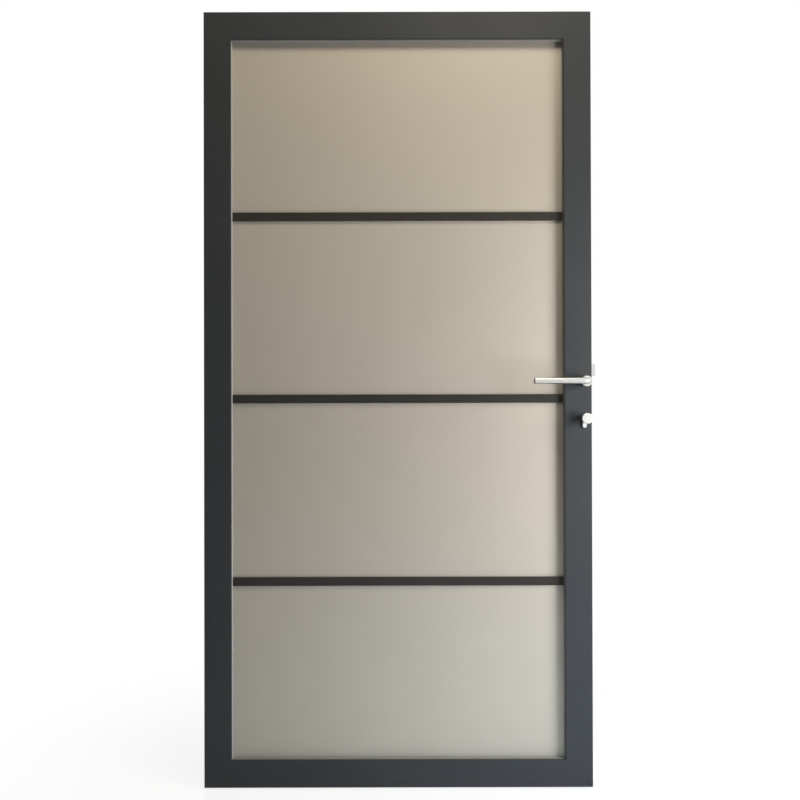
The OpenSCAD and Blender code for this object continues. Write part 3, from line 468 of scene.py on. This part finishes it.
# Pane
# One sheet of glass behind all four fields, etched on its near face to an even frost.
# It hides what is behind it and takes a faint warm tint from the etching.
glass_colour = (0.425, 0.385, 0.325, 1)
frosted_glass, glass_tree, glass_shader, glass_place = new_finish(
    "frosted_glass", Transmission_Weight=0.08, IOR=1.5, Specular_IOR_Level=0.15,
)
glass_cloud = placed(glass_tree, tone_drift, {
    "Vector": glass_place, "Color": glass_colour, "Scale": 2.2, "Amount": 0.06,
})
glass_speck = placed(glass_tree, tone_drift, {
    "Vector": glass_place, "Color": glass_cloud, "Scale": 1200.0, "Amount": 0.06,
})
link(glass_tree, glass_speck, glass_shader.inputs["Base Color"])
glass_wiped = placed(glass_tree, smudges, {
    "Vector": glass_place, "Scale": 3.5, "Low": 0.50, "High": 0.62,
})
link(glass_tree, glass_wiped, glass_shader.inputs["Roughness"])
frost = placed(glass_tree, grain, {"Vector": glass_place, "Scale": 1800.0})
skin(glass_tree, glass_shader, frost, strength=0.3, distance=0.00005)
dress(frosted_glass, "glass_pane")


# Setting blocks and mounting tapes
# Packers of dark rubber-like plastic under and beside the pane, and the foam tape that holds the bars.
# They are cut from moulded strip and stay out of sight behind the lips and bars.
def moulded(name, colour, rough, grain_scale):
    finish, tree, shader, place = new_finish(name, Specular_IOR_Level=0.35)
    drift = placed(tree, tone_drift, {"Vector": place, "Color": colour, "Scale": 30.0, "Amount": 0.15})
    link(tree, drift, shader.inputs["Base Color"])
    rough_low, rough_high = rough
    wiped = placed(tree, smudges, {"Vector": place, "Scale": 20.0, "Low": rough_low, "High": rough_high})
    link(tree, wiped, shader.inputs["Roughness"])
    pitted = placed(tree, grain, {"Vector": place, "Scale": grain_scale})
    skin(tree, shader, pitted, strength=0.3, distance=0.00008)
    return finish


packer_plastic = moulded("packer_plastic", (0.02, 0.02, 0.022, 1), rough=(0.5, 0.65), grain_scale=900.0)
dress(packer_plastic, "setting_blocks", "front_bar_tapes", "rear_bar_tapes")

# Gaskets
# Strips of grey rubber between the spacers and the pane, and between the pane and the beads.
# Each runs round the pane in one ring, mitred at the corners, with a soft rounded nose at the opening.
gasket_rubber = moulded("gasket_rubber", (0.20, 0.20, 0.193, 1), rough=(0.55, 0.70), grain_scale=700.0)
gasket_nose = 0.0013
nose_segments = 4
nearly = 0.00001
facing_share = 0.9
sharp_angle = 1.0


def select_only(mesh, kind, test):
    """In edit mode, selects the faces or edges that pass a test, and nothing else."""
    bpy.ops.mesh.select_mode(type=kind)
    bpy.ops.mesh.select_all(action="DESELECT")
    shape = bmesh.from_edit_mesh(mesh)
    for element in shape.faces if kind == "FACE" else shape.edges:
        if test(element):
            element.select_set(True)
    bmesh.update_edit_mesh(mesh)


def finish_mesh(piece, finish, smooth_below):
    """In edit mode, turns all faces outwards, then leaves edit mode and gives the piece its finish."""
    bpy.ops.mesh.select_all(action="SELECT")
    bpy.ops.mesh.normals_make_consistent(inside=False)
    bpy.ops.object.mode_set(mode="OBJECT")
    bpy.ops.object.shade_smooth_by_angle(angle=math.radians(smooth_below))
    piece.data.materials.append(finish)


def gasket_strip(name, node):
    """A block of the node's size, opened to a ring by inset and bridge, with its inner edges rounded."""
    low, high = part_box(node)
    width = leaf_low.x + face_w - low.x
    bpy.ops.object.select_all(action="DESELECT")
    bpy.ops.mesh.primitive_cube_add(size=1)
    strip = bpy.context.object
    strip.name = name
    bpy.ops.object.mode_set(mode="EDIT")
    bpy.ops.transform.resize(value=high - low)
    bpy.ops.transform.translate(value=(low + high) / 2)
    select_only(strip.data, "FACE", lambda face: abs(face.normal.y) > facing_share)
    bpy.ops.mesh.inset(thickness=width, use_individual=True)
    bpy.ops.mesh.bridge_edge_loops()

    def on_nose(edge):
        ends = [vert.co for vert in edge.verts]
        inner = all(low.x + nearly < end.x < high.x - nearly for end in ends)
        level = abs(ends[0].y - ends[1].y) < nearly
        return inner and level and edge.calc_face_angle(0) > sharp_angle

    select_only(strip.data, "EDGE", on_nose)
    bpy.ops.mesh.bevel(offset=gasket_nose, segments=nose_segments, affect="EDGES")
    finish_mesh(strip, gasket_rubber, smooth_below=40)
    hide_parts(node)
    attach(strip, "leaf")


gasket_strip("front_gasket_strip", "front_gasket")
gasket_strip("rear_gasket_strip", "rear_gasket")

# Glazing beads and bars
# Hollow aluminium beads snapped in round the far side of the pane, and flat bars taped across it.
# Both are coated like the frame, in a batch that is a little darker and browner.
bar_colour = (0.034, 0.0315, 0.0285, 1)
bar_coat = powder_coat("bar_coat", bar_colour, mitred=False)
dress(bar_coat, "bead_left", "bead_right", "bead_top", "bead_bottom")
for height in ("lower", "middle", "upper"):
    dress(bar_coat, f"front_bar_{height}", f"rear_bar_{height}")

# Hinges
# Three butt hinges of satin stainless steel, with wings screwed to tapped plates inside the stile.
# The wings are cut from rolled plate, so their brushing runs upright.
brushed_upright = (1.0, 1.0, 0.02)
tumbled = (0.6, 0.6, 0.6)
hinge_steel = brushed_metal("hinge_steel", (0.50, 0.50, 0.49, 1), brushed_upright, rough=(0.30, 0.42))
zinc_plate = brushed_metal("zinc_plate", (0.42, 0.43, 0.44, 1), tumbled, rough=(0.36, 0.50))
for height in ("bottom", "middle", "top"):
    dress(hinge_steel, f"hinge_leaf_wing_{height}", f"hinge_jamb_wing_{height}", f"hinge_pin_{height}")
dress(hinge_steel, "hinge_screws")
dress(zinc_plate, "hinge_backing_plates")

# Lock
# A mortise lock in the lock stile: a zinc-plated steel case with its hub, latch, spring and deadbolt.
# Only the satin steel faceplate in the leaf's edge and the two bolts show.
plate_steel = brushed_metal("plate_steel", (0.405, 0.40, 0.39, 1), brushed_upright, rough=(0.24, 0.36))
dress(plate_steel, "lock_faceplate", "faceplate_screws", "latch_bolt", "deadbolt", "cylinder_screw")
dress(zinc_plate, "lock_case", "lock_cover", "cover_screws", "lock_brackets", "lever_hub", "cylinder_cam")

# Latch spring
# A compression spring of round steel wire between the back of the case and the latch's tail.
# Its back end stays on the case.
spring_wire_r = 0.0005
wire_sides = 10
spring_turns = 6
steps_per_turn = 24
spring_low, spring_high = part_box("latch_spring")
spring_mid = (spring_low + spring_high) / 2
spring_l = spring_high.x - spring_low.x
coil_r = (spring_high.z - spring_low.z) / 2 - spring_wire_r
bpy.ops.object.select_all(action="DESELECT")
bpy.ops.mesh.primitive_circle_add(vertices=wire_sides, radius=spring_wire_r)
spring = bpy.context.object
spring.name = "latch_spring_coil"
bpy.ops.object.mode_set(mode="EDIT")
bpy.ops.transform.translate(value=(0, coil_r, 0))
bpy.ops.object.mode_set(mode="OBJECT")
winding = spring.modifiers.new("winding", "SCREW")
winding.axis = "X"
winding.screw_offset = (spring_l - 2 * spring_wire_r) / spring_turns
winding.iterations = spring_turns
winding.steps = steps_per_turn
winding.render_steps = steps_per_turn
bpy.ops.object.modifier_apply(modifier="winding")
bpy.ops.object.mode_set(mode="EDIT")
bpy.ops.mesh.select_all(action="SELECT")
bpy.ops.mesh.remove_doubles(threshold=nearly)
bpy.ops.mesh.fill_holes(sides=0)
bpy.ops.mesh.select_all(action="SELECT")
bpy.ops.transform.translate(value=(spring_low.x + spring_wire_r, spring_mid.y, spring_mid.z))
drawn_wire = (0.3, 1.0, 1.0)
spring_steel = brushed_metal("spring_steel", (0.40, 0.40, 0.39, 1), drawn_wire, rough=(0.26, 0.38))
finish_mesh(spring, spring_steel, smooth_below=50)
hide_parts("latch_spring")
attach(spring, "leaf")
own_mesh(spring)


# Cylinder and thumb turn
# A profile cylinder of nickel-plated brass through the stile, held by one screw from the edge.
# A turned knob sits on its near end, and the far end has a keyway.
def turned_steel(name, axis, colour, rough):
    """Steel with rings left by the lathe round an axis along Y."""
    finish, tree, shader, place = new_finish(name, Metallic=1.0)
    centred = put(tree, "ShaderNodeMapping", {"Vector": place, "Location": (-axis.x, 0, -axis.z)})
    apart = put(tree, "ShaderNodeSeparateXYZ", {0: centred.outputs[0]})
    across = put(tree, "ShaderNodeCombineXYZ", {"X": apart.outputs["X"], "Y": apart.outputs["Z"]})
    radius = put(tree, "ShaderNodeVectorMath", {0: across.outputs[0]}, operation="LENGTH")
    ring = put(tree, "ShaderNodeCombineXYZ", {"X": radius.outputs["Value"], "Y": apart.outputs["Y"]})
    metal_lines(tree, shader, ring.outputs[0], colour, scale=1600.0, tone=0.14, rough=rough)
    return finish


def middle_of(node):
    low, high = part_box(node)
    return (low + high) / 2


bright_steel = (0.60, 0.59, 0.565, 1)
cylinder_axis = middle_of("turn_plug")
knob_steel = turned_steel("knob_steel", cylinder_axis, (0.68, 0.675, 0.655, 1), rough=(0.20, 0.32))
cylinder_nickel = brushed_metal("cylinder_nickel", bright_steel, drawn_through, rough=(0.22, 0.34))
dress(knob_steel, "thumb_turn", "turn_plug", "key_plug")
dress(cylinder_nickel, "cylinder_body")

# Handle
# Two bent levers of round stainless bar on one square spindle, in round collars on both faces.
# The bar is brushed along its length, with its ends darkened as painted shade, and the collars are turned.
brushed_level = (0.02, 1.0, 1.0)
shaded_end_depth = 0.0012
painted_end_shade_colour = (0.20, 0.195, 0.185, 1)
lever_steel = brushed_metal("lever_steel", (0.55, 0.541, 0.517, 1), brushed_level, rough=(0.22, 0.36))
lever_tree = lever_steel.node_tree
lever_shader = next(node for node in lever_tree.nodes if node.type == "BSDF_PRINCIPLED")
lever_brushed = lever_shader.inputs["Base Color"].links[0].from_socket
lever_place = put(lever_tree, "ShaderNodeTexCoord")
lever_apart = put(lever_tree, "ShaderNodeSeparateXYZ", {0: lever_place.outputs["Object"]})
# Painted shade: the end faces of the levers and the last millimetre beside them are darkened.
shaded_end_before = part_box("front_lever")[0].x + shaded_end_depth
shaded_end = math_node(lever_tree, "LESS_THAN", lever_apart.outputs["X"], shaded_end_before)
lever_shown = mixed_colour(lever_tree, shaded_end, lever_brushed, painted_end_shade_colour)
link(lever_tree, lever_shown, lever_shader.inputs["Base Color"])
rose_steel = turned_steel("rose_steel", middle_of("front_rose"), bright_steel, rough=(0.22, 0.34))
dress(lever_steel, "front_lever", "rear_lever")
dress(rose_steel, "front_rose", "rear_rose")
dress(zinc_plate, "spindle", "lever_grub_screws")
